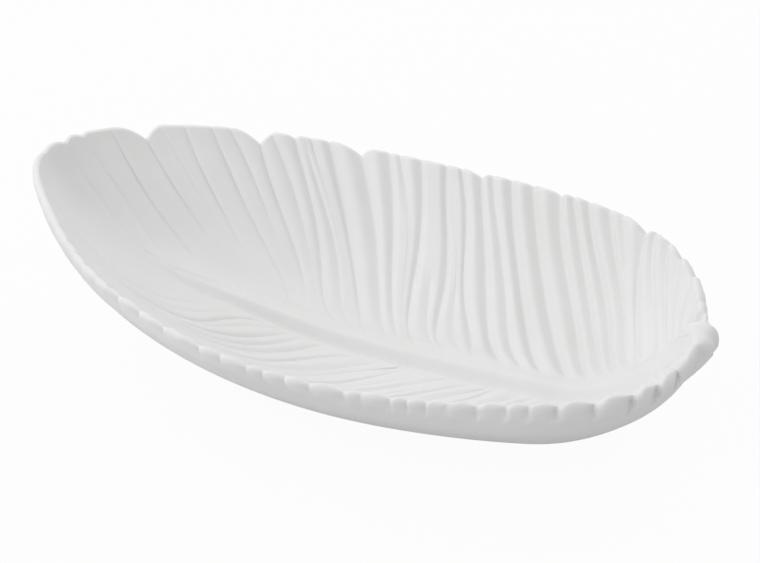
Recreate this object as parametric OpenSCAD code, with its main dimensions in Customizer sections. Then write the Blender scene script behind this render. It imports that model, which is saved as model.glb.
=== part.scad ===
// Feather-shaped serving dish in matt white ceramic, standing on four small pads.
// +X runs from the tip of the feather to its quill, +Y to the back, +Z up, millimetres.
// The origin lies on the table, under the middle of the dish with its quill.

/* [Dish] */
// Length of the rim from the tip to the quill end
dish_length = 288; // [250:1:330]
// Width of the rim at its widest place
dish_width = 157; // [138:1:180]
// Height of the rim above the table, halfway along each side
side_height = 57; // [48:1:64]
// Height of the rim above the table at the tip
tip_height = 77.5; // [68:0.5:86]
// Height of the rim above the table at the quill end
quill_height = 58; // [50:1:66]
// How much fuller the outline is in its quill half than in its tip half
fullness = 5.6; // [3:0.1:8]
// How far the outline's shoulders stand out on each side of the quill
shoulder = 2.5; // [0:0.1:4]

/* [Wall and floor] */
// Radius of the rounding on the inside of the rim
lip_radius = 1.3; // [1:0.1:1.8]
// How far the rounding on the outside of the rim reaches down the wall
lip_drop = 2.4; // [2:0.1:3.5]
// Thickness of the wall where that rounding ends, measured in a groove
rim_thickness = 3.6; // [3:0.1:4.5]
// Thickness of the wall below the rim
wall_thickness = 7; // [5:0.1:8]
// Thickness of the wall under the tip
tip_wall = 8; // [5:0.1:9]
// Thickness of the end wall under the quill
quill_wall = 9.5; // [6:0.1:12]
// Thickness of the floor over the foot
floor_thickness = 4.2; // [3.5:0.1:6]
// Power of the cross-section: more makes the floor flatter and the sides steeper
wall_power = 2.8; // [2.4:0.01:3.2]
// Start of the floor's sweep up to the tip, from the middle toward the quill
tip_sweep_start = 32; // [20:1:50]
// Start of the floor's sweep up to the quill, from the middle
quill_sweep_start = 87; // [75:1:98]

/* [Feather] */
// Height of the barbs above the grooves between them
barb_relief = 1.5; // [0.6:0.1:1.8]
// Depth of the small notch between two barbs at the rim
scallop = 0.7; // [0.4:0.1:1.6]
// Height of the midrib above the floor
rib_height = 2.8; // [1.5:0.1:3.5]
// Width of the midrib near the tip
rib_tip_width = 9; // [6:0.1:12]
// Width of the quill where the midrib leaves the dish
quill_width = 12; // [9:0.1:15]
// How far the quill stands out past the rim
quill_reach = 9; // [6:0.5:11]
// How far the top of the quill lies above the rim beside it
quill_rise = 1.5; // [0:0.5:2.5]
// Radius of the rounding over the end of the quill
quill_round = 4.5; // [3.5:0.1:6]
// How far the quill bends toward the front
quill_bend = 3; // [0:0.5:4]
// Distance along the midrib from the tip to the root of the first barbs
first_root = 62; // [45:1:75]

/* [Foot] */
// Length of the flat oval foot
foot_length = 112; // [96:1:130]
// Width of the flat oval foot
foot_width = 54; // [46:1:62]
// Distance of the foot's middle from the middle of the rim, toward the quill
foot_offset = 30; // [22:1:38]

/* [Pads] */
// Diameter of each pad
pad_diameter = 9; // [6:0.5:11]
// Height of each pad
pad_height = 1.4; // [0.8:0.1:3]
// Radius of the rounded lower edge of each pad
pad_edge = 0.4; // [0.1:0.1:0.6]
// Distance between pad centres along the dish
pad_spacing_length = 76; // [60:1:80]
// Distance between pad centres across the dish
pad_spacing_width = 26; // [20:1:30]

/* [Hidden] */

// Tufts from the tip to the quill: depth of the split that ends the tuft, how far the last
// groove lies nearer the quill at 0.6 and at 0.2 of its length than at the rim, and the
// widths of the barbs along the rim. Both sides have the same number of barbs.
back_tufts = [
    [2, -1, -11, [12.5]],
    [1, 4, -8, [9]],
    [6.3, 11, 8, [9, 7.5, 12.5]],
    [6.3, 8, -1, [9, 11, 11.5, 7.5, 14.5]],
    [4.4, 4, -3, [6, 10.5, 8.5, 8.5, 14.5]],
    [0.6, -3, -10, [11, 4.5, 4.5, 9]],
    [2.6, 3, 3, [12, 6.5, 10.5]],
    [1.8, 10, 18, [5.5, 9.5, 10.5, 12.5]],
    [0.9, 11, 19, [7, 8, 9]],
    [2.2, 6, 15, [6.5, 13]],
    [2.2, 7, 14, [9, 7, 9]],
    [2.2, 4, 8, [12]],
    [0.8, 0, 0, [22]]
];
front_tufts = [
    [2.2, 24, 18, [16, 16]],
    [2.4, 24, 20, [11, 9.5]],
    [2.4, 24, 33, [8.5, 10]],
    [4, 24, 42, [5.5, 9.5, 7.5, 9]],
    [4, 19, 39, [10, 6, 6, 8.5, 8.5]],
    [5, 9, 25, [8.5, 13, 7, 8.5, 9.5, 13]],
    [5, 14, 30, [7, 10.5, 6, 7, 7, 11]],
    [4.5, 11, 25, [11, 7.5, 9.5, 14]],
    [5, 8, 17, [14]],
    [5, 6, 13, [9.5]],
    [4, 4, 9, [10]],
    [3, 3, 6, [8.5]],
    [0.8, 0, 0, [15]]
];

// Places across one barb where its profile is drawn, as shares of its width
barb_steps = [0, 0.2, 0.5, 0.8];
// Columns across the end of the rim that the quill takes up, on each side
quill_steps = 8;
// Shares of the way from the midrib to the rim where the inside is drawn
inner_rows = [0.012, 0.04, 0.075, 0.12, 0.2, 0.32, 0.46, 0.6, 0.73, 0.84, 0.93, 1];
// Angles around the rounded lip
lip_angles = [45, 90, 115, 132];
// Angle at which the lip runs into the outside of the wall
lip_end = 145;
// Share of the wall from its inside where the lip is highest
lip_crest = 0.35;
// Shares of the way from the rim to the foot where the outside is drawn
outer_rows = [0.05, 0.12, 0.22, 0.36, 0.54, 0.76, 1];

// Small terms of the rim's height line: lift of the tip, droop of both ends
tip_lift = 1.3;
end_droop = 1.2;
// Powers of the floor's sweeps up to the tip and the quill, against 0.5 for an ellipse
tip_sweep_power = 0.53;
quill_sweep_power = 0.83;
// Changes of the cross-section's power toward the ends: straight, square and cubic
power_terms = [0.25, -1.17, -0.58];
// Distance from the tip to the midrib's start, and the length over which it rises
rib_start = 30;
rib_run_in = 70;
// Extra height of the midrib where it swells into the quill, and the length of the swell
quill_swell = 1.6;
quill_swell_length = 30;
// Length of the midrib over which it bends toward the quill
quill_bend_length = 60;
// How much the foot is sunk into the rounded underside before it is cut flat
foot_sink = 2;
// Distance along the midrib from the last roots to the rim at the quill
last_root = 8;
// Height over which the quill runs out into the wall below it
quill_run_out = 34;
// Shares of a barb's length where it rises out of the floor and where it is fully risen
barb_rise = [0.06, 0.22];

half_length = dish_length / 2;
inner_half = half_length - lip_radius;
floor_z = pad_height + floor_thickness;
quill_half = quill_width / 2;

function limit(v, low, high) = min(high, max(low, v));
function mix(a, b, share) = a + (b - a) * share;
function smooth(v) = let (s = limit(v, 0, 1)) s * s * (3 - 2 * s);
function unit(v) = v / norm(v);

// Rim line: angle 0 at the tip, 180 at the quill

function outline(angle) =
    dish_width / 2 * sin(angle) - fullness * sin(2 * angle) - shoulder * sin(4 * angle);

function rim_z(angle) =
    let (saddle = ((tip_height + quill_height) / 2 - side_height) / 2)
    let (tilt = (tip_height - quill_height) / 2 - tip_lift)
    side_height + saddle + end_droop + tilt * cos(angle) + saddle * cos(2 * angle)
    + tip_lift * cos(3 * angle) - end_droop * cos(4 * angle);

function rim_point(angle) = [-half_length * cos(angle), outline(angle), rim_z(angle)];

rim_runs = [
    for (angle = 0, run = 0; angle <= 180;
         run = run + norm(rim_point(angle + 1) - rim_point(angle)), angle = angle + 1)
        [run, angle]
];
rim_total = rim_runs[180][0];

function rim_angle(run) = lookup(run, rim_runs);

// Smooth inside of the bowl, under the barbs and the midrib

function floor_line(x) =
    let (tip_run = limit((tip_sweep_start - x) / (inner_half + tip_sweep_start), 0, 1))
    let (quill_run = limit((x - quill_sweep_start) / (inner_half - quill_sweep_start), 0, 1))
    floor_z
    + (tip_height - floor_z) * (1 - pow(1 - tip_run * tip_run, tip_sweep_power))
    + (quill_height - floor_z) * (1 - pow(1 - quill_run * quill_run, quill_sweep_power));

function bowl(x, y) =
    let (angle = acos(limit(-x / inner_half, -1, 1)))
    let (half_width = max(0.01, outline(angle) - lip_radius * sin(angle)))
    let (across = min(1.15, abs(y) / half_width))
    let (along = limit(x / inner_half, -1, 1))
    let (power = max(1.25, wall_power + power_terms * [along, pow(along, 2), pow(along, 3)]))
    let (low = floor_line(x))
    low + (rim_z(angle) - low) * pow(across, power);

function bowl_normal(x, y) =
    let (d = 0.4)
    unit([bowl(x - d, y) - bowl(x + d, y), bowl(x, y - d) - bowl(x, y + d), 2 * d]);

// Barbs and splits of one side, placed by their run along the rim

function barb_widths(tufts) = [for (tuft = tufts) for (width = tuft[3]) width];

function split_depths(tufts) = concat([scallop], [
    for (tuft = tufts)
        for (i = [1 : len(tuft[3])])
            i == len(tuft[3]) ? tuft[0] : scallop
]);

function running_sum(list) = [
    for (i = 0, sum = 0; i <= len(list); sum = sum + (i < len(list) ? list[i] : 0), i = i + 1) sum
];

barb_end = rim_total - quill_half * 1.4;

function barb_starts(tufts) =
    let (sums = running_sum(barb_widths(tufts)))
    sums * (barb_end / sums[len(sums) - 1]);

// Rim run of each split with a value of its tuft: 1 for the bow, 2 for the lean
function split_values(tufts, item) =
    let (sums = running_sum([for (tuft = tufts) running_sum(tuft[3])[len(tuft[3])]]))
    let (fit = barb_end / sums[len(tufts)])
    concat([[0, 0]], [for (i = [0 : len(tufts) - 1]) [sums[i + 1], tufts[i][item]] * fit]);

// How far a place on the rim belongs to the quill: 1 in its middle, 0 beside it
function quill_share(run, side) =
    1 - smooth(abs((rim_total - run) * side + quill_bend) / quill_half / 1.2);

// A notch falls away in a long arc on its tip side and rises steeply on its quill side
function notch(run, start, depth) =
    depth * (run < start ? pow(max(0, 1 - (start - run) / (2 + 2.4 * depth)), 2)
                         : max(0, 1 - (run - start) / (1.5 + 0.9 * depth)));

// Profile of a barb at a step across it: flat-topped at the tip, rounded along the sides
function swell(run, step) =
    1 - pow(abs(2 * step - 1), mix(6, 2, smooth(4.3 * run / barb_end - 0.75)));

// Columns of one side: [run along the rim, notch depth, height of the barb, bow, lean]
function columns(tufts, side) =
    let (widths = barb_widths(tufts))
    let (starts = barb_starts(tufts))
    let (depths = split_depths(tufts))
    let (bows = split_values(tufts, 1))
    let (leans = split_values(tufts, 2))
    concat(
        [for (i = [0 : len(widths) - 1]) for (step = barb_steps)
            let (run = mix(starts[i], starts[i + 1], step))
            [
                run,
                max([for (k = [0 : len(widths)]) notch(run, starts[k], depths[k])]),
                barb_relief * min(1.2, sqrt(widths[i] / 9)) * swell(run, step),
                lookup(run, bows),
                lookup(run, leans)
            ]],
        [for (k = [0 : quill_steps])
            let (run = mix(barb_end, rim_total, k / quill_steps))
            [run, -quill_rise * quill_share(run, side), 0, 0, 0]]
    );

back_columns = columns(back_tufts, 1);
front_columns = columns(front_tufts, -1);
last = len(back_columns) - 1;
ring = 2 * last;

// Column m of the ring: 0 at the tip, up the back to the quill, then down the front
function ring_column(m) = m <= last ? back_columns[m] : front_columns[ring - m];
function ring_side(m) = m == 0 || m == last ? 0 : m < last ? 1 : -1;

// Run that a column follows at a share of its length: a curve through rim, bow and lean
function column_run(m, share) =
    let (column = ring_column(m))
    let (s = limit(share, 0.2, 1))
    column[0] + column[3] * (1 - s) * (s - 0.2) / 0.16 + column[4] * (1 - s) * (0.6 - s) / 0.32;

// Barbs lean toward the tip: each root lies nearer the quill than its end at the rim
function root_x(run) =
    let (share = run / rim_total)
    mix(first_root - inner_half, inner_half - last_root,
        share + 0.25 * share * share * sin(180 * share));

// Plan point at a share of the way along a barb
function barb_plan(m, share) =
    let (run = column_run(m, share))
    let (angle = rim_angle(run))
    let (end_x = -inner_half * cos(angle))
    let (end_y = ring_side(m) * (outline(angle) - lip_radius * sin(angle)))
    [mix(end_x, root_x(run), pow(1 - share, 1.2)), end_y * share];

function on_bowl(plan) = [plan[0], plan[1], bowl(plan[0], plan[1])];

// Length of each column near the rim, as if it all ran at that slope
reaches = [
    for (m = [0 : ring - 1])
        norm(on_bowl(barb_plan(m, 1)) - on_bowl(barb_plan(m, 0.96))) / 0.04
];

// How far each column belongs to the quill
quill_shares = [for (m = [0 : ring - 1]) quill_share(ring_column(m)[0], m <= last ? 1 : -1)];

// Height of the lip's rounding over the inside, and its drop down the outside
lip_heights = [for (share = quill_shares) mix(lip_radius, quill_round, share)];
lip_drops = [
    for (m = [0 : ring - 1])
        max(0.4, mix(lip_drop, quill_round, quill_shares[m]) - 0.4 * ring_column(m)[1])
];

// Share of each column that is left when its notch and the lip's rounding are taken off
shares = [for (m = [0 : ring - 1]) 1 - (lip_heights[m] + ring_column(m)[1]) / reaches[m]];

// Height of the midrib over the bowl: it fades out at the tip and swells into the quill
function rib_rise(x, y) =
    let (half = mix(rib_tip_width, quill_width, (x / inner_half + 1) / 2) / 2)
    let (end = smooth((x - inner_half) / quill_swell_length + 1))
    let (rise = rib_height * smooth((x + inner_half - rib_start) / rib_run_in) + quill_swell * end)
    let (off = abs(y + quill_bend * smooth((x - inner_half) / quill_bend_length + 1)))
    rise * (1 - smooth(off / half / mix(1.2, 1.4, end)));

// Barbs stand full along the sides, and lie low beside the midrib near both ends
function barb_height(m, share) =
    let (place = column_run(m, share) / barb_end)
    let (full = smooth(3.2 * place - 1) * smooth(5 - 5 * place))
    let (rise = smooth((share - barb_rise[0]) / (barb_rise[1] - barb_rise[0])))
    ring_column(m)[2] * rise * mix(0.28 + 0.85 * pow(share, 2.2), 1.3, full);

function inner_point(m, row) =
    let (share = row * shares[m])
    let (plan = barb_plan(m, share))
    on_bowl(plan)
    + bowl_normal(plan[0], plan[1]) * (barb_height(m, share) + rib_rise(plan[0], plan[1]));

// The quill stands out of the end wall as a rounded stub
function quill_push(point) =
    let (off = abs(point[1] + quill_bend) / quill_half / 1.15)
    point[0] < 0 ? 0
    : quill_reach * pow(max(0, 1 - off * off), 0.8)
      * smooth(1 - (quill_height - point[2]) / quill_run_out);

function outer_point(m, row) =
    let (angle = rim_angle(ring_column(m)[0]))
    let (foot_y = ring_side(m) * foot_width / 2 * sin(angle))
    let (foot = [foot_offset - foot_length / 2 * cos(angle), foot_y])
    let (drop = mix(ring_column(m)[1] + lip_drops[m], lip_drop, smooth(row / 0.15)))
    let (plan = mix(barb_plan(m, 1 - (lip_heights[m] + drop) / reaches[m]), foot, row))
    let (along = plan[0] / inner_half)
    let (full = wall_thickness + (tip_wall - wall_thickness) * smooth(-along / 0.6)
                + (quill_wall - wall_thickness) * smooth((along - 0.1) / 0.8))
    let (full_by = mix(0.22, 0.12, smooth(-along / 0.6)))
    let (wall = mix(full, rim_thickness, pow(max(0, 1 - row / full_by), 2)))
    let (depth = mix(wall, floor_thickness + foot_sink, smooth(1.3 * row)))
    let (point = on_bowl(plan) - bowl_normal(plan[0], plan[1]) * depth)
    row == 1 ? [foot[0], foot[1], pad_height]
    : [point[0] + quill_push(point), point[1], max(pad_height, point[2])];

// The lip turns tightly on the inside and rolls slowly down the outside
function lip_point(m, angle) =
    let (inside = inner_point(m, 1))
    let (up = unit(on_bowl(barb_plan(m, shares[m])) - on_bowl(barb_plan(m, shares[m] - 0.05))))
    let (over = outer_point(m, 0) - inside + up * lip_drops[m])
    let (crest = mix(lip_crest, 0.5, quill_shares[m]))
    angle < 90
    ? inside + over * crest * (1 - cos(angle)) + up * lip_heights[m] * sin(angle)
    : inside + over * mix(crest, 1, cos(angle) / cos(lip_end))
      + up * mix(lip_heights[m], -lip_drops[m], (1 - sin(angle)) / (1 - sin(lip_end)));

// Net of points: inside rows, lip rows, rim row, then the outside at every second column
dish_points = concat(
    [for (row = inner_rows) for (m = [0 : ring - 1]) inner_point(m, row)],
    [for (angle = lip_angles) for (m = [0 : ring - 1]) lip_point(m, angle)],
    [for (m = [0 : ring - 1]) outer_point(m, 0)],
    [for (row = outer_rows) for (m = [0 : 2 : ring - 1]) outer_point(m, row)]
);
xs = [for (point = dish_points) point[0]];
frame_shift = -(min(xs) + max(xs)) / 2;
fine_rows = len(inner_rows) + len(lip_angles) + 1;
coarse_start = fine_rows * ring;

function fine_index(row, m) = row * ring + m % ring;
function coarse_index(row, k) = coarse_start + row * last + k % last;

// Whether the stitch over the midrib goes one column on at the back, or else at the front
function back_is_next(back, front) =
    front == last || (back < last && xs[back + 1] <= xs[ring - front - 1]);

// Stitches that join the first row of the back to the first row of the front
rib_stitches = [
    for (back = 0, front = 0, step = 0; back < last || front < last;
         step = back_is_next(back, front) ? 1 : 0, back = back + step, front = front + 1 - step)
        back_is_next(back, front)
        ? [fine_index(0, ring - front), fine_index(0, back), fine_index(0, back + 1)]
        : [fine_index(0, back), fine_index(0, ring - front - 1), fine_index(0, ring - front)]
];

dish_faces = concat(
    [for (face = rib_stitches) if (face[0] != face[1] && face[0] != face[2]) face],
    [for (row = [0 : fine_rows - 2]) for (m = [0 : ring - 1])
        each [[fine_index(row, m), fine_index(row + 1, m), fine_index(row + 1, m + 1)],
              [fine_index(row, m), fine_index(row + 1, m + 1), fine_index(row, m + 1)]]],
    [for (k = [0 : last - 1]) let (row = fine_rows - 1)
        each [[fine_index(row, 2 * k), coarse_index(0, k), fine_index(row, 2 * k + 1)],
              [fine_index(row, 2 * k + 1), coarse_index(0, k), coarse_index(0, k + 1)],
              [fine_index(row, 2 * k + 1), coarse_index(0, k + 1), fine_index(row, 2 * k + 2)]]],
    [for (row = [0 : len(outer_rows) - 2]) for (k = [0 : last - 1])
        each [[coarse_index(row, k), coarse_index(row + 1, k), coarse_index(row + 1, k + 1)],
              [coarse_index(row, k), coarse_index(row + 1, k + 1), coarse_index(row, k + 1)]]],
    [[for (k = [last - 1 : -1 : 0]) coarse_index(len(outer_rows) - 1, k)]]
);

// The ceramic dish: barbs, midrib, notched rim, quill and foot in one casting
module dish_body() {
    color([0.92, 0.92, 0.91])
        translate([frame_shift, 0, 0])
            polyhedron(points = dish_points, faces = dish_faces);
}

// One pad under the foot, at an end (-1 tip, 1 quill) and a side (-1 front, 1 back)
module foot_pad(end, side) {
    radius = pad_diameter / 2;
    color([0.86, 0.86, 0.84])
        translate([frame_shift + foot_offset + end * pad_spacing_length / 2,
                   side * pad_spacing_width / 2, 0])
            rotate_extrude($fn = 48)
                union() {
                    translate([0, pad_edge])
                        square([radius, pad_height - pad_edge]);
                    square([radius - pad_edge, pad_height]);
                    translate([radius - pad_edge, pad_edge])
                        circle(pad_edge, $fn = 32);
                }
}

dish_body();
foot_pad(-1, -1);  // foot_pad_tip_front
foot_pad(-1, 1);  // foot_pad_tip_back
foot_pad(1, -1);  // foot_pad_quill_front
foot_pad(1, 1);  // foot_pad_quill_back
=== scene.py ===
import math
import bpy
import numpy as np
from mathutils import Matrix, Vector


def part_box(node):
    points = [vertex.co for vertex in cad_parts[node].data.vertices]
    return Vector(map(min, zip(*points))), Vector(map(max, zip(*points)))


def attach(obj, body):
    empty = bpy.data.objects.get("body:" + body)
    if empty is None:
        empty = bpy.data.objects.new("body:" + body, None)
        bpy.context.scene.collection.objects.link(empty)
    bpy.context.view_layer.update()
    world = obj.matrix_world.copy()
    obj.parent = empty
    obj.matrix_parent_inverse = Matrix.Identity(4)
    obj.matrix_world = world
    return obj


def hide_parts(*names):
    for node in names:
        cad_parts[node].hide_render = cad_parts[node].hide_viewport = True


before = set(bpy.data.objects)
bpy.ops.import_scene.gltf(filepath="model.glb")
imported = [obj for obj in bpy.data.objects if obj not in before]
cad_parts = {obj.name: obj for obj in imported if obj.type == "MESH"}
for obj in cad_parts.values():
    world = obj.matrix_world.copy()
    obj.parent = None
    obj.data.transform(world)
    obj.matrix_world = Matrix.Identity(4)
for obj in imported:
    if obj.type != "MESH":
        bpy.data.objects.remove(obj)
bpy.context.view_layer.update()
print("frame loaded:", len(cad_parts), "nodes")

mm = 0.001


class Wire:
    # an output socket that plain arithmetic works on
    def __init__(self, look, socket):
        self.look, self.socket = look, socket

    def calc(self, operation, first, second):
        return self.look.node("ShaderNodeMath", {"operation": operation}, {0: first, 1: second})

    def __add__(self, other):
        return self.calc("ADD", self, other)

    def __radd__(self, other):
        return self.calc("ADD", other, self)

    def __sub__(self, other):
        return self.calc("SUBTRACT", self, other)

    def __rsub__(self, other):
        return self.calc("SUBTRACT", other, self)

    def __mul__(self, other):
        return self.calc("MULTIPLY", self, other)

    def __rmul__(self, other):
        return self.calc("MULTIPLY", other, self)

    def __truediv__(self, other):
        return self.calc("DIVIDE", self, other)

    def __rtruediv__(self, other):
        return self.calc("DIVIDE", other, self)

    def __gt__(self, other):
        return self.calc("GREATER_THAN", self, other)


class Look:
    # one node tree, of a material or of the world
    def __init__(self, owner):
        owner.use_nodes = True
        self.owner, self.tree = owner, owner.node_tree
        self.tree.nodes.clear()

    def node(self, kind, settings={}, values={}, out=0):
        made = self.tree.nodes.new(kind)
        for name, value in settings.items():
            setattr(made, name, value)
        for name, value in values.items():
            if isinstance(value, Wire):
                self.tree.links.new(value.socket, made.inputs[name])
            else:
                made.inputs[name].default_value = value
        return Wire(self, made.outputs[out]) if made.outputs else made

    def clamp(self, value, low, high):
        return self.node("ShaderNodeClamp", {}, {"Value": value, "Min": low, "Max": high})

    def blend(self, share, first, second):
        return self.node("ShaderNodeMix", {"data_type": "RGBA"}, {0: share, 6: first, 7: second}, 2)

    def finish(self, shader, kind="ShaderNodeOutputMaterial"):
        self.node(kind, {}, {"Surface": shader})
        return self.owner


def newLook(name):
    return Look(bpy.data.materials.new(name))


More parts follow.
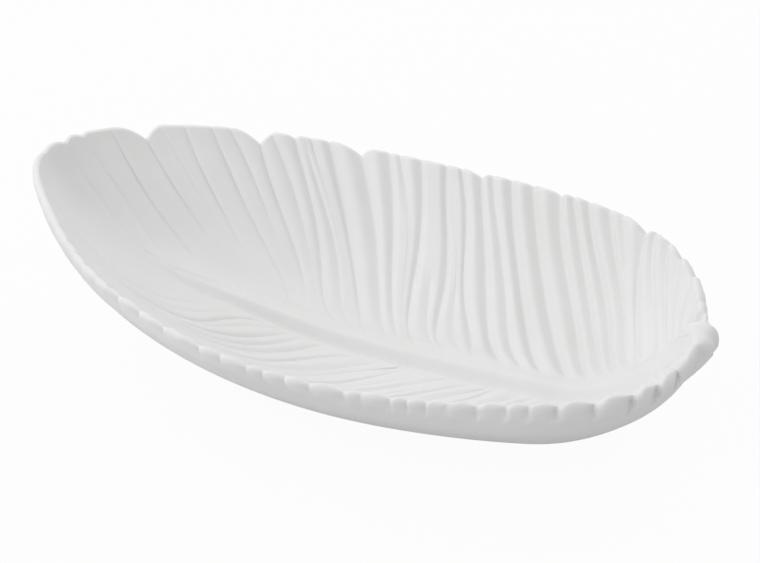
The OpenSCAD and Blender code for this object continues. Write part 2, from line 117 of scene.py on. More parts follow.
# Dish: one casting with barbs, midrib, notched rim, quill and foot, in millimetres.
# A run is a distance along the rim from the tip. A pair named Ease holds where a change starts and ends.
dish = {
    "length": 288.0, "width": 157.0,  # of the rim line
    "sideHeight": 57.0, "tipHeight": 77.5, "quillHeight": 58.0,  # of the rim above the table
    "fullness": 5.6, "shoulder": 2.5,  # of the oval
    "tipLift": 1.3, "endDroop": 1.2,  # of the rim at its ends
    "lipRadius": 1.3, "lipTurn": 145.0,  # round top of the rim, and the degrees that it turns over
    "wallThickness": 7.0, "tipWall": 8.0, "quillWall": 9.5, "floorThickness": 4.2,
    "wallPower": [2.8, 0.25, -1.17, -0.58],  # of the wall's curve, and how it changes along the dish
    "tipSweepStart": 32.0, "tipSweepPower": 0.53, "quillSweepStart": 87.0, "quillSweepPower": 0.83,
    # midrib, with the reach of its flanks in half widths
    "ribHeight": 4.3, "ribTipWidth": 9.0, "ribEase": [30.0, 100.0], "ribBack": 3.2, "ribFront": 1.1,
    "ribEnd": 1.4, "ribEndRise": 1.6, "ribEndRun": 30.0, "ribBendRun": 60.0,
    # quill, with the reach of its flanks and its push outward in half widths
    "quillWidth": 12.0, "quillReach": 9.0, "quillRise": 1.5, "quillRound": 4.5, "quillBend": 3.0,
    "quillRunOut": 34.0, "quillCrest": 0.5, "quillBack": 1.2, "quillFront": 2.4, "quillPush": 1.3,
    "barbStop": 1.4,  # where the barbs end beside it, in half widths
    # barbs: their roots on the midrib, then their height
    "firstRoot": 62.0, "lastRoot": 8.0, "rootLag": 0.25, "rootPower": 1.2,
    "barbRelief": 1.5, "barbRunIn": 8.0, "barbWidth": 9.0, "mostSwell": 1.2,
    "tipRelief": [0.45, 0.9], "sideRelief": [1.15, 0.35],  # at the midrib, and what is gained by the rim
    "tipStrength": 0.9, "meetEase": [0.0, 30.0], "tipCalm": 0.9, "calmRun": 150.0,
    "endEase": [0.0, 0.2], "rimEase": [0.8, 1.0], "atRimEase": [60.0, 150.0],
    # grooves: fine lines near the tip turn into round valleys along the sides
    "roundEase": [60.0, 140.0], "roundPower": 2.0, "roundShare": 0.7,
    "rootEase": [185.0, 225.0], "shallowRoot": 0.1, "cutFade": 0.12, "lowestPath": 0.12,
    # rim and outer wall
    "tipEase": [25.0, 90.0], "quillEase": [14.0, 44.0], "rimCutEase": [235.0, 260.0],
    "stretches": [80.0, 105.0, 250.0, 285.0],  # runs where the values of a side change
    "fallStart": 2.0, "shortestFall": 3.0, "longestFall": 14.0,  # of a notch, towards the tip
    "thinnestDrop": 0.4, "dropShare": 0.4, "dentSoft": 1.5, "flareFrom": 0.86,
    "notchFade": 0.11, "dentFade": 0.065, "flareFade": 0.1,  # shares of the way down to the foot
    "rimThin": [0.22, 0.12],  # how far down the wall is thinned, at the sides and at the tip
    "tipWallEase": [0.0, 0.6], "quillWallEase": [0.1, 0.9],
    # where both sides meet, at the tip and at the quill
    "atEnds": {"lipDrop": 2.4, "lipCrest": 0.35, "rim": 3.6, "lean": 0.0, "flare": 0.0, "inside": 1.0},
    # values of each side: a pair is towards the tip and towards the quill, and three are near the tip,
    # along the side and near the quill
    "backSide": {
        "facing": 1, "fullEase": [0.31, 0.62], "tipPower": 5.0, "strength": 1.0,
        "atRim": [0.45, 1.1], "rootFade": [0.4, 0.15], "rimCut": [0.0, 0.0],
        "fallRate": 2.4, "fallPower": [2.0, 2.0, 2.6],
        "riseFrom": 0.8, "riseRate": [1.2, 1.2, 1.2], "risePower": 1.8,
        "lipDrop": [2.4, 2.4, 2.4], "lipCrest": 0.35, "rim": [3.6, 3.6, 3.6], "lean": 0.0,
        "flare": [0, 0, 0], "dent": [0, 0, 0], "inside": [1, 1, 1]},
    "frontSide": {
        "facing": -1, "fullEase": [0.05, 0.2], "tipPower": 2.5, "strength": 0.75,
        "atRim": [0.45, 0.7], "rootFade": [0.36, 0.18], "rimCut": [2.0, 0.8],
        "fallRate": 4.5, "fallPower": [1.2, 1.4, 1.6],
        "riseFrom": 0.5, "riseRate": [0.6, 0.55, 0.9], "risePower": 1.2,
        "lipDrop": [3.0, 1.6, 2.6], "lipCrest": 0.3, "rim": [3.6, 2.6, 3.8], "lean": 1.5,
        "flare": [3.5, 2.6, 3.2], "dent": [0.5, 1.2, 3.0], "inside": [0.2, 0.3, 0.6]},
    "footLength": 112.0, "footWidth": 54.0, "footOffset": 30.0, "footSink": 2.0, "footTurn": 1.3,
    "barbSteps": 12, "quillSteps": 20, "innerRows": 80, "lipRows": 13, "outerRows": 28,
    "firstRow": 0.35, "innerCrowd": 0.25, "outerCrowd": 1.25,  # spacing of the rows
    # grooves from the tip to the quill: notch at the rim, depth of the cut, lowest and highest share of
    # the wall that is cut, then runs at these shares of the wall
    "pathShares": [1.0, 0.8, 0.6, 0.4, 0.2],
    "backGrooves": [
        [2.4, 0.35, 0.3, 1, 12.7, 13.6, 11.8, 6.5, 2],
        [1.4, 0.5, 0.15, 0.92, 21.5, 26.3, 25.2, 20, 13],
        [0, 0.75, 0.15, 0.97, 35, 39.3, 42, 43, 35],
        [0, 0.25, 0.25, 0.68, 43, 47.5, 51, 52.5, 46],
        [6.3, 0.7, 0.4, 1, 50.5, 57, 61.8, 63.2, 58],
        [0, 0.4, 0.68, 0.97, 58, 67, 71, 72, 67],
        [0.3, 0.7, 0.3, 1, 69.3, 74.8, 79.5, 80.8, 78],
        [0.4, 0.75, 0.2, 1, 81.8, 89, 94.2, 97, 91],
        [0.4, 0.75, 0.52, 1, 90.3, 99.6, 103, 103.5, 97],
        [6.3, 0.9, 0.15, 1, 104, 108.3, 111.5, 110, 103],
        [0.5, 0.8, 0.45, 1, 110, 118, 119, 116, 110.5],
        [1.6, 1, 0.1, 1, 120.6, 125.8, 125.5, 120.8, 117.5],
        [0, 0.8, 0.1, 0.88, 125, 131.8, 134.2, 131, 126.5],
        [0.5, 0.9, 0.76, 1, 128.6, 135.7, 138.5, 136, 131.5],
        [0.8, 1, 0.08, 1, 136.6, 141.6, 142.4, 140.5, 136.7],
        [4.4, 1.15, 0.06, 1, 152, 156.6, 156, 152.7, 149],
        [0.6, 1.1, 0.06, 1, 165.7, 166.7, 163.8, 160, 156.5],
        [0.5, 0.7, 0.7, 1, 171, 174.5, 171, 165.5, 161],
        [0.6, 1, 0.06, 1, 181, 180.9, 176, 169.5, 164.5],
        [0, 0.6, 0.1, 0.5, 187, 187.5, 184.5, 179.3, 175.5],
        [0.7, 1.1, 0.06, 1, 193, 193.9, 192, 185.8, 180.8],
        [0, 0.4, 0.1, 0.48, 197, 198.7, 197.5, 193.5, 191],
        [0.6, 0.9, 0.06, 1, 200.5, 203.5, 201.4, 201, 200.5],
        [2.6, 1.1, 0.05, 1, 210.2, 212.6, 213, 212, 213],
        [0.6, 0.8, 0.05, 1, 215.6, 220.5, 223, 223.2, 224.7],
        [0.8, 1.1, 0.05, 1, 224.5, 228, 231.4, 234, 237],
        [0.9, 1.1, 0.05, 1, 234.8, 240, 244.6, 249, 254],
        [1.8, 1, 0.05, 1, 248.5, 252.8, 259, 263.5, 268],
        [0.6, 0.9, 0.05, 1, 254.6, 262.5, 268.8, 274, 279],
        [0.8, 1, 0.05, 1, 262.2, 270.5, 278.3, 282.5, 287.4],
        [0.8, 1, 0.05, 1, 272.6, 281, 288, 292, 297.5],
        [0.5, 0.5, 0.72, 1, 280, 286.6, 291.5, 295.5, 301],
        [3.6, 0.9, 0.05, 1, 291.5, 292.6, 295.6, 300.4, 305.5],
        [0.7, 0.8, 0.05, 1, 297.2, 300.6, 307, 313, 320],
        [0.7, 0.9, 0.04, 1, 305.3, 309, 315, 322.5, 332],
        [2.4, 0.6, 0.15, 1, 314, 317, 322, 329, 338],
        [2.4, 0.7, 0.05, 1, 326, 326, 330, 337.5, 344],
        [1.8, 0.5, 0.3, 1, 342, 340, 340.5, 344, 347.5]],
    "frontGrooves": [
        [0.6, 0.35, 0.3, 1, 16, 25, 33, 36, 30],
        [0, 0.3, 0.3, 0.95, 24, 35.5, 45, 48, 41],
        [2.2, 0.7, 0.2, 1, 31, 45.5, 56, 57, 50.5],
        [0, 0.6, 0.15, 0.6, 43.2, 54, 66.5, 67.4, 63.5],
        [3, 0.9, 0.1, 1, 51.3, 62, 76.8, 76.4, 72.5],
        [0, 0.5, 0.1, 0.42, 57, 68, 80, 82.6, 83.4],
        [0, 0.95, 0.1, 1, 61.4, 72.5, 84.5, 92.4, 95.2],
        [3.4, 0.9, 0.08, 1, 69.2, 84, 95.8, 102.4, 104.5],
        [2.4, 0.95, 0.08, 1, 76, 93, 105.2, 112, 115.3],
        [3, 0.3, 0.6, 1, 85.4, 99, 111.5, 117.5, 122],
        [0, 1, 0.08, 1, 91.5, 105.5, 118, 123.2, 130],
        [6, 0.9, 0.08, 1, 98, 114.5, 127.5, 136.5, 145.4],
        [5.6, 0.5, 0.08, 1, 109.5, 123.5, 136.5, 144.3, 153.5],
        [0, 0.3, 0.6, 1, 116, 129, 141.5, 150, 158],
        [5, 0.9, 0.06, 1, 122, 135, 147, 155.3, 162],
        [0, 0.4, 0.06, 1, 130.5, 142, 153, 163, 172],
        [6.2, 0.8, 0.06, 1, 138.8, 151, 161, 169.7, 181.5],
        [5, 0.3, 0.5, 1, 148.5, 159.5, 169, 178, 189],
        [5.2, 0.9, 0.05, 1, 159.8, 168, 175, 183, 196],
        [4.4, 0.7, 0.05, 1, 166.8, 177, 185, 194, 206],
        [5.2, 0.3, 0.5, 1, 175.5, 185, 191.5, 200, 210],
        [5.2, 0.8, 0.05, 1, 185.3, 193, 198, 205.5, 214],
        [7.5, 0.9, 0.05, 1, 198.5, 206, 211.5, 218.5, 227.5],
        [3, 0.8, 0.05, 1, 205.8, 214, 220, 227, 236],
        [5.6, 0.9, 0.05, 1, 216.5, 225, 231, 238, 247],
        [4.4, 0.8, 0.05, 1, 223, 232, 238.5, 246, 255],
        [4.6, 0.9, 0.05, 1, 230, 239.5, 247, 255, 264],
        [2.2, 0.9, 0.05, 1, 238, 247, 255, 263, 272],
        [6.5, 1, 0.05, 1, 248.5, 257.5, 265, 272.5, 281],
        [3.8, 0.9, 0.05, 1, 259.4, 268, 275, 282, 290],
        [2, 0.9, 0.05, 1, 267.6, 276, 283, 290.5, 299],
        [4, 0.9, 0.05, 1, 277.7, 285.5, 292.5, 300, 308],
        [6, 0.9, 0.05, 1, 291, 298, 304, 311, 318.5],
        [7, 0.8, 0.05, 1, 306, 311, 316, 322, 328.5],
        [6, 0.7, 0.05, 1, 317, 319.5, 324, 329, 335],
        [9, 0.6, 0.05, 1, 329.5, 330, 332.5, 336, 341],
        [0, 0.5, 0.1, 1, 336.5, 337.5, 339, 342, 346],
        [0, 0, 0.1, 1, 343, 344, 345, 346.5, 348.5]],
}

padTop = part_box("foot_pad_tip_front")[1][2] / mm
innerHalf = dish["length"] / 2 - dish["lipRadius"]
floorLevel = padTop + dish["floorThickness"]
quillHalf = dish["quillWidth"] / 2
lipEnd = math.radians(dish["lipTurn"])


def mix(first, second, share):
    return first + (second - first) * share


def smooth(value):
    share = np.clip(value, 0, 1)
    return share * share * (3 - 2 * share)


def ramp(value, start, end):
    return smooth((value - start) / (end - start))


def outline(angle):
    return (dish["width"] / 2 * np.sin(angle) - dish["fullness"] * np.sin(2 * angle)
            - dish["shoulder"] * np.sin(4 * angle))


def rimHeight(angle):
    saddle = ((dish["tipHeight"] + dish["quillHeight"]) / 2 - dish["sideHeight"]) / 2
    tilt = (dish["tipHeight"] - dish["quillHeight"]) / 2 - dish["tipLift"]
    return (dish["sideHeight"] + saddle + dish["endDroop"] + tilt * np.cos(angle)
            + saddle * np.cos(2 * angle) + dish["tipLift"] * np.cos(3 * angle)
            - dish["endDroop"] * np.cos(4 * angle))


def floorLine(x):
    tipRun = np.clip((dish["tipSweepStart"] - x) / (innerHalf + dish["tipSweepStart"]), 0, 1)
    quillRun = np.clip((x - dish["quillSweepStart"]) / (innerHalf - dish["quillSweepStart"]), 0, 1)
    tipRise = 1 - (1 - tipRun ** 2) ** dish["tipSweepPower"]
    quillRise = 1 - (1 - quillRun ** 2) ** dish["quillSweepPower"]
    return (floorLevel + (dish["tipHeight"] - floorLevel) * tipRise
            + (dish["quillHeight"] - floorLevel) * quillRise)


def bowl(x, y):
    # height of the smooth inside, without barbs and midrib
    along = np.clip(x / innerHalf, -1, 1)
    angle = np.arccos(-along)
    halfWidth = np.maximum(0.01, outline(angle) - dish["lipRadius"] * np.sin(angle))
    across = np.minimum(1.15, np.abs(y) / halfWidth)  # a little past the rim
    low = floorLine(x)
    power = sum(value * along ** k for k, value in enumerate(dish["wallPower"]))
    return low + (rimHeight(angle) - low) * across ** power


def onBowl(x, y):
    return np.stack([x, y, bowl(x, y)], -1)


def unit(vectors):
    return vectors / np.linalg.norm(vectors, axis=-1, keepdims=True)


def bowlNormal(x, y):
    step = 0.4
    return unit(np.stack([bowl(x - step, y) - bowl(x + step, y), bowl(x, y - step) - bowl(x, y + step),
                          np.full_like(x, 2 * step)], -1))


rimAngles = np.radians(np.arange(181.0))
rimLine = np.stack([-dish["length"] / 2 * np.cos(rimAngles), outline(rimAngles), rimHeight(rimAngles)], -1)
rimRuns = np.concatenate([[0], np.cumsum(np.linalg.norm(np.diff(rimLine, axis=0), axis=1))])
rimTotal = rimRuns[-1]
barbEnd = rimTotal - quillHalf * dish["barbStop"]


def quillShare(runs, facing):
    # 1 in the middle of the quill, 0 beside it
    off = (rimTotal - runs) * facing + dish["quillBend"]
    return 1 - smooth(np.abs(off) / quillHalf / np.where(off < 0, dish["quillFront"], dish["quillBack"]))


class Side:
    # columns of one side of the dish: barbs between grooves, then the quill's share of the rim
    def __init__(self, listed, values):
        self.values = values
        atTip, atQuill = [0.0, 0, 0, 1] + [0.0] * 5, [0.0, 0, 0, 1] + [barbEnd] * 5
        listed = np.array([atTip] + listed + [atQuill], float)
        self.notch, self.cut, self.low, self.high = listed[:, :4].T
        self.bends = np.polyfit(dish["pathShares"], listed[:, 4:].T, 4)
        even = np.arange(dish["barbSteps"]) / dish["barbSteps"]
        steps = mix(even, 0.5 - 0.5 * np.cos(np.pi * even), 0.5)  # closer together in the grooves
        count = len(listed) - 1
        self.place = np.tile(steps, count)
        self.barb = np.repeat(np.arange(count), len(steps))
        self.quill = np.linspace(barbEnd, rimTotal, dish["quillSteps"] + 1)
        self.marks, self.rim = self.paths(1.0), self.runs(1.0)

    def paths(self, share):
        # run of every groove at a share of the wall
        return np.polyval(self.bends, max(share, dish["lowestPath"]))

    def runs(self, share):
        # run of every column at a share of the wall
        paths = self.paths(share)
        return np.concatenate([mix(paths[self.barb], paths[self.barb + 1], self.place), self.quill])

    def fromEnds(self):
        # 1 along most of the rim, 0 at the tip and at the quill
        return ramp(self.rim, *dish["tipEase"]) * ramp(rimTotal - self.rim, *dish["quillEase"])

    def along(self, name, run):
        # a value near the tip, along the side and near the quill
        nearTip, beside, nearQuill = self.values[name]
        return np.interp(run, dish["stretches"], [nearTip, beside, beside, nearQuill])

    def lowered(self):
        # how far the whole rim of this side is cut down
        return self.fromEnds() * mix(*self.values["rimCut"], ramp(self.rim, *dish["rimCutEase"]))

    def notches(self):
        # depth of the rim's notches, each with a long fall and a short rise
        run, deep, before = self.rim, self.lowered(), 0.0
        for middle, depth in zip(self.marks, self.notch):
            if depth > 0:
                room = max(dish["shortestFall"], middle - before)
                fall = min(dish["longestFall"], dish["fallStart"] + self.values["fallRate"] * depth, room)
                rise = self.values["riseFrom"] + self.along("riseRate", middle) * depth
                ahead = np.maximum(0, 1 - (middle - run) / fall) * (run <= middle)
                behind = np.maximum(0, 1 - (run - middle) / rise) * (run > middle)
                shape = ahead ** self.along("fallPower", middle) + behind ** self.values["risePower"]
                deep, before = np.maximum(deep, depth * shape), middle
        return deep - dish["quillRise"] * quillShare(run, self.values["facing"])

    def dent(self):
        # how far the wall is dented under the end of a barb
        run, marks = self.rim, self.marks[self.notch > 0]
        k = np.clip(np.searchsorted(marks, run), 1, len(marks) - 1)
        across = np.clip((run - marks[k - 1]) / (marks[k] - marks[k - 1]), 0, 1)
        end = mix(1, across ** 2, smooth((run - marks[k - 1]) / dish["dentSoft"]))
        between = (run > marks[0]) * (run < marks[-1] + 0.01)
        return self.along("dent", run) * self.fromEnds() * end * between

    def relief(self, share):
        # full on a barb's crest, less in a groove, none on the quill
        paths = self.paths(share)
        start = paths[self.barb]
        rootFade = mix(*self.values["rootFade"], ramp(paths, *dish["rootEase"]))
        root = self.low * (self.low > dish["shallowRoot"])
        cut = (self.cut * smooth((share - root) / rootFade)
               * smooth((self.high + dish["cutFade"] - share) / dish["cutFade"]))
        cut = cut[np.where(self.place < 0.5, self.barb, self.barb + 1)]
        rounded = ramp(start, *dish["roundEase"])
        narrow = np.abs(2 * self.place - 1) ** mix(self.values["tipPower"], dish["roundPower"], rounded)
        height = 1 - cut * mix(narrow, np.cos(np.pi * self.place) ** 2, dish["roundShare"] * rounded)
        return np.concatenate([height * self.strength(share, paths), np.zeros(len(self.quill))])

    def strength(self, share, paths):
        # how high the barbs stand from tip to quill and from midrib to rim
        start, place = paths[self.barb], paths[self.barb] / barbEnd
        full = ramp(place, *self.values["fullEase"]) * ramp(1 - place, *dish["endEase"])
        nearTip = dish["tipRelief"][0] + dish["tipRelief"][1] * share ** 2
        beside = dish["sideRelief"][0] + dish["sideRelief"][1] * share
        atRim = mix(*self.values["atRim"], ramp(start, *dish["atRimEase"]))
        swell = np.sqrt(np.maximum(0.1, np.diff(paths)) / dish["barbWidth"])
        swell = np.minimum(dish["mostSwell"], swell)
        swell[0] = 1.0  # both sides meet at the tip
        return (mix(nearTip, beside, full) * mix(1, atRim, ramp(share, *dish["rimEase"]))
                * mix(dish["tipStrength"], self.values["strength"], ramp(start, *dish["meetEase"]))
                * swell[self.barb])


back, front = Side(dish["backGrooves"], dish["backSide"]), Side(dish["frontGrooves"], dish["frontSide"])
last = len(back.rim) - 1
ring = 2 * last
side = np.concatenate([[0], np.ones(last - 1), [0], -np.ones(last - 1)])


def ringOf(backValues, frontValues):
    # values of both sides in ring order: tip, back, quill, front
    return np.concatenate([backValues, frontValues[1:last][::-1]])


def rootOf(runs):
    # place on the midrib where a barb starts
    share = runs / rimTotal
    return mix(dish["firstRoot"] - innerHalf, innerHalf - dish["lastRoot"],
               share + dish["rootLag"] * share ** 2 * np.sin(np.pi * share))


def barbPlan(row, share, slide=0.0):
    # plan point of every column in a row, at a share of the way from the midrib to the rim
    run = ringOf(back.runs(row), front.runs(row)) - slide
    angle = np.interp(run, rimRuns, rimAngles)
    endX = -innerHalf * np.cos(angle)
    endY = side * (outline(angle) - dish["lipRadius"] * np.sin(angle))
    return mix(endX, rootOf(run), (1 - share) ** dish["rootPower"]), endY * share


rimRun = ringOf(back.rim, front.rim)
rimAngle = np.interp(rimRun, rimRuns, rimAngles)
fromEnds = ringOf(back.fromEnds(), front.fromEnds())


def ofSide(name):
    beside = np.where(side < 0, dish["frontSide"][name], dish["backSide"][name])
    return mix(dish["atEnds"][name], beside, fromEnds)


def alongSides(name):
    beside = ringOf(back.along(name, back.rim), front.along(name, front.rim))
    return mix(dish["atEnds"][name], beside, fromEnds)


# Rim, column by column
nearRim, belowRim = 0.04, 0.05
atRim = onBowl(*barbPlan(1.0, 1.0)) - onBowl(*barbPlan(1.0, 1 - nearRim))
reach = np.linalg.norm(atRim, axis=-1) / nearRim  # length of the way from the midrib, by its last stretch
inQuill = quillShare(rimRun, np.where(side < 0, -1, 1))
lipHeight = mix(dish["lipRadius"], dish["quillRound"], inQuill)
lipDrop = alongSides("lipDrop")
crest = mix(ofSide("lipCrest"), dish["quillCrest"], inQuill)[:, None]
rimThickness, lean, flare = alongSides("rim"), ofSide("lean"), alongSides("flare")[:, None]
dent = ringOf(back.dent(), front.dent())

# a notch is scooped out of the rim from outside, and cuts its inner edge less
notches = ringOf(back.notches(), front.notches())
insideNotches = mix(ringOf(back.lowered(), front.lowered()), notches, alongSides("inside"))
outsideDrop = mix(lipDrop, dish["quillRound"], inQuill) - dish["dropShare"] * notches
outsideDrop = np.maximum(dish["thinnestDrop"], outsideDrop)
drop = outsideDrop + notches - insideNotches
kept = 1 - (lipHeight + insideNotches) / reach
outward = -bowlNormal(*barbPlan(1.0, kept)) * [1, 1, 0]


def ribRise(x, y):
    fromTip, toQuill = x + innerHalf, innerHalf - x
    half = mix(dish["ribTipWidth"], dish["quillWidth"], fromTip / innerHalf / 2) / 2
    atQuill = ramp(toQuill, dish["ribEndRun"], 0)
    rise = dish["ribHeight"] * ramp(fromTip, *dish["ribEase"]) + dish["ribEndRise"] * atQuill
    away = y + dish["quillBend"] * ramp(toQuill, dish["ribBendRun"], 0)
    flank = mix(np.where(away > 0, dish["ribBack"], dish["ribFront"]), dish["ribEnd"], atQuill)
    return rise * (1 - smooth(np.abs(away) / half / flank))


def innerRow(row):
    x, y = barbPlan(row, row * kept)
    fromRoot = np.hypot(x - rootOf(ringOf(back.runs(row), front.runs(row))), y)
    calm = mix(dish["tipCalm"], 1.0, ramp(x + innerHalf, 0, dish["calmRun"]))
    barb = (dish["barbRelief"] * ringOf(back.relief(row), front.relief(row)) * calm
            * smooth((fromRoot - dish["ribTipWidth"] / 2) / dish["barbRunIn"]))
    turned = outward * flare * ramp(row, dish["flareFrom"], 1) ** 2
    return onBowl(x, y) + bowlNormal(x, y) * (barb + ribRise(x, y))[:, None] + turned


def outerRow(row):
    footX = dish["footOffset"] - dish["footLength"] / 2 * np.cos(rimAngle)
    footY = side * dish["footWidth"] / 2 * np.sin(rimAngle)
    if row == 1:
        return np.stack([footX, footY, np.full(ring, padTop)], -1)
    sunk = lipHeight + mix(notches + outsideDrop, lipDrop, ramp(row, 0, dish["notchFade"]))
    x, y = barbPlan(1.0, 1 - sunk / reach, lean)
    x, y = mix(x, footX, row), mix(y, footY, row)
    along = x / innerHalf
    towardsTip, towardsQuill = ramp(-along, *dish["tipWallEase"]), ramp(along, *dish["quillWallEase"])
    wall = (dish["wallThickness"] + (dish["tipWall"] - dish["wallThickness"]) * towardsTip
            + (dish["quillWall"] - dish["wallThickness"]) * towardsQuill)
    thinned = np.maximum(0, 1 - row / mix(*dish["rimThin"], towardsTip)) ** 2
    depth = mix(mix(wall, rimThickness, thinned), dish["floorThickness"] + dish["footSink"],
                smooth(dish["footTurn"] * row))
    depth = depth - dent * (1 - ramp(row, 0, dish["dentFade"]))
    turned = outward * flare * (1 - ramp(row, 0, dish["flareFade"]))
    points = onBowl(x, y) - bowlNormal(x, y) * depth[:, None] + turned
    off = np.abs(points[:, 1] + dish["quillBend"]) / quillHalf / dish["quillPush"]
    high = smooth(1 - (dish["quillHeight"] - points[:, 2]) / dish["quillRunOut"])
    points[:, 0] += dish["quillReach"] * np.maximum(0, 1 - off ** 2) ** 1.5 * (points[:, 0] > 0) * high
    points[:, 2] = np.maximum(padTop, points[:, 2])
    return points


def lipRow(inside, outside, turn):
    up = unit(onBowl(*barbPlan(1.0, kept)) - onBowl(*barbPlan(1.0, kept - belowRim)))
    over = outside - inside + up * drop[:, None]
    if turn < math.pi / 2:
        return inside + over * crest * (1 - math.cos(turn)) + up * (lipHeight * math.sin(turn))[:, None]
    out = mix(crest, 1, math.cos(turn) / math.cos(lipEnd))
    fall = mix(lipHeight, -drop, (1 - math.sin(turn)) / (1 - math.sin(lipEnd)))
    return inside + over * out + up * fall[:, None]


def dishRows():
    fine, coarse = [], []
    for k in range(dish["innerRows"] + 1):
        even = (k + dish["firstRow"]) / (dish["innerRows"] + dish["firstRow"])
        fine.append(innerRow(mix(even, even ** 2, dish["innerCrowd"])))
    inside, outside = fine[-1], outerRow(0.0)
    for k in range(1, dish["lipRows"] + 1):
        fine.append(lipRow(inside, outside, lipEnd * k / (dish["lipRows"] + 1)))
    fine.append(outside)
    for k in range(1, dish["outerRows"] + 1):
        coarse.append(outerRow((k / dish["outerRows"]) ** dish["outerCrowd"])[::2])
    return fine, coarse


def zipUp(first, second, x):
    # faces between two lines of points that run side by side and share both ends
    faces, i, k = [], 0, 0
    while i < len(first) - 1 or k < len(second) - 1:
        if k == len(second) - 1 or (i < len(first) - 1 and x[first[i + 1]] <= x[second[k + 1]]):
            face, i = [first[i], first[i + 1], second[k]], i + 1
        else:
            face, k = [first[i], second[k + 1], second[k]], k + 1
        if len(set(face)) == 3:
            faces.append([int(corner) for corner in face])
    return faces


def strips(start, count, columns):
    # faces between rows of points, each row a closed ring of columns
    k = np.arange(columns)
    after = (k + 1) % columns
    rows = [start + row * columns for row in range(count)]
    return [face for a, b in zip(rows, rows[1:])
            for face in np.stack([a + k, b + k, b + after, a + after], 1).tolist()]


def makeDish():
    fine, coarse = dishRows()
    points = np.concatenate(fine + coarse)
    low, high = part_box("dish_body")
    points[:, 0] += (low[0] + high[0]) / 2 / mm - (points[:, 0].min() + points[:, 0].max()) / 2
    faces = zipUp(list(range(last + 1)), [0] + list(range(ring - 1, last - 1, -1)), points[:, 0])
    faces += strips(0, len(fine), ring)
    # below the rim every second column goes on
    k, a, b = np.arange(last), (len(fine) - 1) * ring, len(fine) * ring
    after = (k + 1) % last
    faces += np.stack([a + 2 * k, b + k, b + after, a + 2 * after, a + 2 * k + 1], 1).tolist()
    faces += strips(b, len(coarse), last)
    faces.append((b + (len(coarse) - 1) * last + k[::-1]).tolist())
    mesh = bpy.data.meshes.new("featherDish")
    mesh.from_pydata((points * mm).tolist(), [], faces)
    mesh.validate()
    mesh.polygons.foreach_set("use_smooth", [True] * (len(mesh.polygons) - 1) + [False])  # flat foot
    mesh.update()
    made = bpy.data.objects.new("featherDish", mesh)
    bpy.context.scene.collection.objects.link(made)
    return made


featherDish = makeDish()
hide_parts("dish_body")
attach(featherDish, "root")
print("dish made:", len(featherDish.data.polygons), "faces")


# Matt white ceramic of the dish
glaze = {
    "white": (0.80, 0.80, 0.80, 1), "dull": (0.765, 0.765, 0.76, 1), "speck": (0.42, 0.42, 0.41, 1),
    "rough": 0.58, "roughSpread": 0.1, "grainSpread": 0.1,
    "cloudScale": 22.0, "cloudStart": 0.35, "cloudGain": 2.5, "grainScale": 1500.0, "grainHeight": 0.00002,
    "speckSpacing": 30.0, "speckSize": 0.0004, "speckShare": 0.1, "speckStrength": 0.8, "speckDepth": 2.0,
}


def makeGlaze():
    look = newLook("mattGlaze")
    place = look.node("ShaderNodeTexCoord", {}, {}, "Object")
    cloud = look.node("ShaderNodeTexNoise", {}, {
        "Vector": place, "Scale": glaze["cloudScale"], "Detail": 4.0, "Roughness": 0.6})
    grain = look.node("ShaderNodeTexNoise", {}, {
        "Vector": place, "Scale": glaze["grainScale"], "Detail": 2.0, "Roughness": 0.6})
    cell = {"Vector": place, "Scale": glaze["speckSpacing"], "Randomness": 1.0}
    away = look.node("ShaderNodeTexVoronoi", {"feature": "F1"}, cell, "Distance")
    tint = look.node("ShaderNodeTexVoronoi", {"feature": "F1"}, cell, "Color")
    chosen = look.node("ShaderNodeSeparateColor", {}, {"Color": tint}, "Red") > 1 - glaze["speckShare"]
    dot = look.clamp(2.0 - away / (glaze["speckSize"] * glaze["speckSpacing"]), 0.0, 1.0) * chosen
    cloudy = look.clamp((cloud - glaze["cloudStart"]) * glaze["cloudGain"], 0.0, 1.0)
    body = look.blend(cloudy, glaze["dull"], glaze["white"])
    colour = look.blend(dot * glaze["speckStrength"], body, glaze["speck"])
    rough = glaze["rough"] + (cloud - 0.5) * glaze["roughSpread"] + (grain - 0.5) * glaze["grainSpread"]
    bump = look.node("ShaderNodeBump", {}, {
        "Strength": 1.0, "Distance": glaze["grainHeight"], "Height": grain - dot * glaze["speckDepth"]})
    return look.finish(look.node("ShaderNodeBsdfPrincipled", {}, {
        "Base Color": colour, "Roughness": rough, "Normal": bump}))


featherDish.data.materials.append(makeGlaze())

# Soft pale pads stuck under the foot
padLook = {
    "pale": (0.78, 0.78, 0.76, 1), "dim": (0.70, 0.70, 0.68, 1),
    "rough": 0.45, "roughSpread": 0.2, "grainScale": 700.0,
}


def makePadLook():
    look = newLook("softPad")
    place = look.node("ShaderNodeTexCoord", {}, {}, "Object")
    grain = look.node("ShaderNodeTexNoise", {}, {
        "Vector": place, "Scale": padLook["grainScale"], "Detail": 3.0})
    colour = look.blend(grain, padLook["dim"], padLook["pale"])
    return look.finish(look.node("ShaderNodeBsdfPrincipled", {}, {
        "Base Color": colour, "Roughness": padLook["rough"] + (grain - 0.5) * padLook["roughSpread"]}))


softPad = makePadLook()
for name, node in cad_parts.items():
    if name.startswith("foot_pad"):
        if not node.material_slots:
            node.data.materials.append(softPad)
        for held in node.material_slots:
            held.material = softPad
print("materials made")


# Table, room and lamps
table = {"size": 4.0, "colour": (0.68, 0.68, 0.68, 1), "whiteToCamera": 0.95}


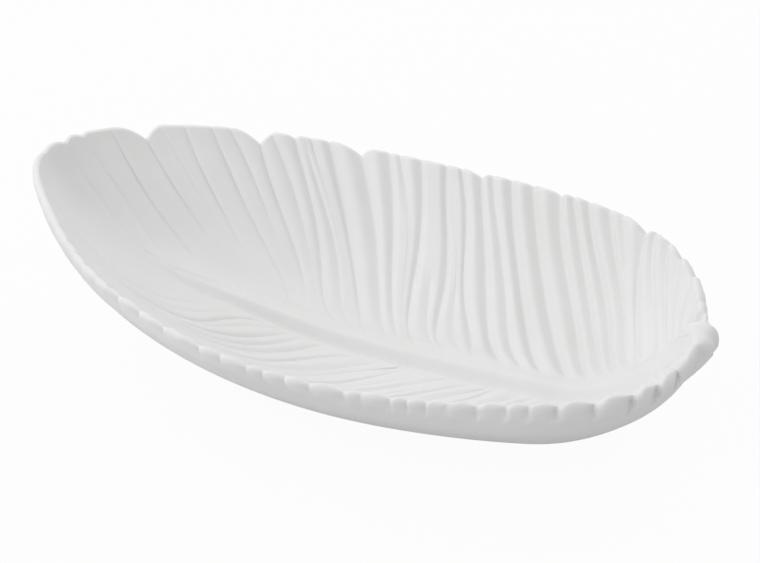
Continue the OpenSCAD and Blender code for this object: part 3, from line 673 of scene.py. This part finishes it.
def makeTable():
    half = table["size"] / 2
    corners = [(-half, -half, 0), (half, -half, 0), (half, half, 0), (-half, half, 0)]
    mesh = bpy.data.meshes.new("tableTop")
    mesh.from_pydata(corners, [], [(0, 1, 2, 3)])
    made = bpy.data.objects.new("tableTop", mesh)
    bpy.context.scene.collection.objects.link(made)
    look = newLook("tableTop")
    seen = look.node("ShaderNodeLightPath", {}, {}, "Is Camera Ray")
    matt = look.node("ShaderNodeBsdfDiffuse", {}, {"Color": table["colour"]})
    plain = look.node("ShaderNodeEmission", {}, {"Color": (1, 1, 1, 1), "Strength": 1.0})
    mesh.materials.append(look.finish(look.node("ShaderNodeMixShader", {}, {
        0: seen * table["whiteToCamera"], 1: matt, 2: plain})))


room = {"fill": (1, 1, 1, 1), "fillStrength": 0.72}


def makeRoom():
    world = bpy.data.worlds.new("room")
    bpy.context.scene.world = world
    look = Look(world)
    seen = look.node("ShaderNodeLightPath", {}, {}, "Is Camera Ray")
    strength = room["fillStrength"] + seen * (1.0 - room["fillStrength"])  # plain white to the camera
    fill = look.node("ShaderNodeBackground", {}, {"Color": room["fill"], "Strength": strength})
    look.finish(fill, "ShaderNodeOutputWorld")


# where each lamp stands round the point that all of them face
lampAim = Vector((0, 0, 0.03))
lamps = {
    "window": {"azimuth": -90.0, "elevation": 45.0, "distance": 1.3, "size": 1.0, "watts": 3.2},
    "frontCard": {"azimuth": -40.0, "elevation": 30.0, "distance": 1.3, "size": 1.0, "watts": 3.6},
    "backCard": {"azimuth": 168.0, "elevation": 40.0, "distance": 1.3, "size": 1.0, "watts": 3.3},
}


def around(azimuth, elevation, distance, target):
    a, e = math.radians(azimuth), math.radians(elevation)
    away = Vector((math.sin(a) * math.cos(e), -math.cos(a) * math.cos(e), math.sin(e)))
    return Vector(target) + distance * away


def makeLamp(name, values):
    data = bpy.data.lights.new(name, "AREA")
    data.shape, data.size, data.energy = "DISK", values["size"], values["watts"]
    made = bpy.data.objects.new(name, data)
    made.location = around(values["azimuth"], values["elevation"], values["distance"], lampAim)
    made.rotation_euler = (lampAim - made.location).to_track_quat("-Z", "Y").to_euler()
    bpy.context.scene.collection.objects.link(made)


makeTable()
makeRoom()
for name, values in lamps.items():
    makeLamp(name, values)
print("table, room and lamps made")


camera = {
    "azimuth": 19.352, "elevation": 40.0, "distance": 0.583, "target": (-0.00244, 0.0, 0.020),
    "lens": 63.76, "sensor": 36.0, "shiftX": 0.03247, "shiftY": 0.0526,
}


def makeCamera():
    data = bpy.data.cameras.new("photoView")
    data.lens, data.sensor_width, data.sensor_fit = camera["lens"], camera["sensor"], "HORIZONTAL"
    data.shift_x, data.shift_y = camera["shiftX"], camera["shiftY"]
    data.clip_start, data.clip_end = 0.01, 20.0
    made = bpy.data.objects.new("photoView", data)
    target = Vector(camera["target"])
    made.location = around(camera["azimuth"], camera["elevation"], camera["distance"], target)
    made.rotation_euler = (target - made.location).to_track_quat("-Z", "Y").to_euler()
    bpy.context.scene.collection.objects.link(made)
    bpy.context.scene.camera = made


makeCamera()
bpy.context.scene.view_settings.view_transform = "Standard"
print("camera set")
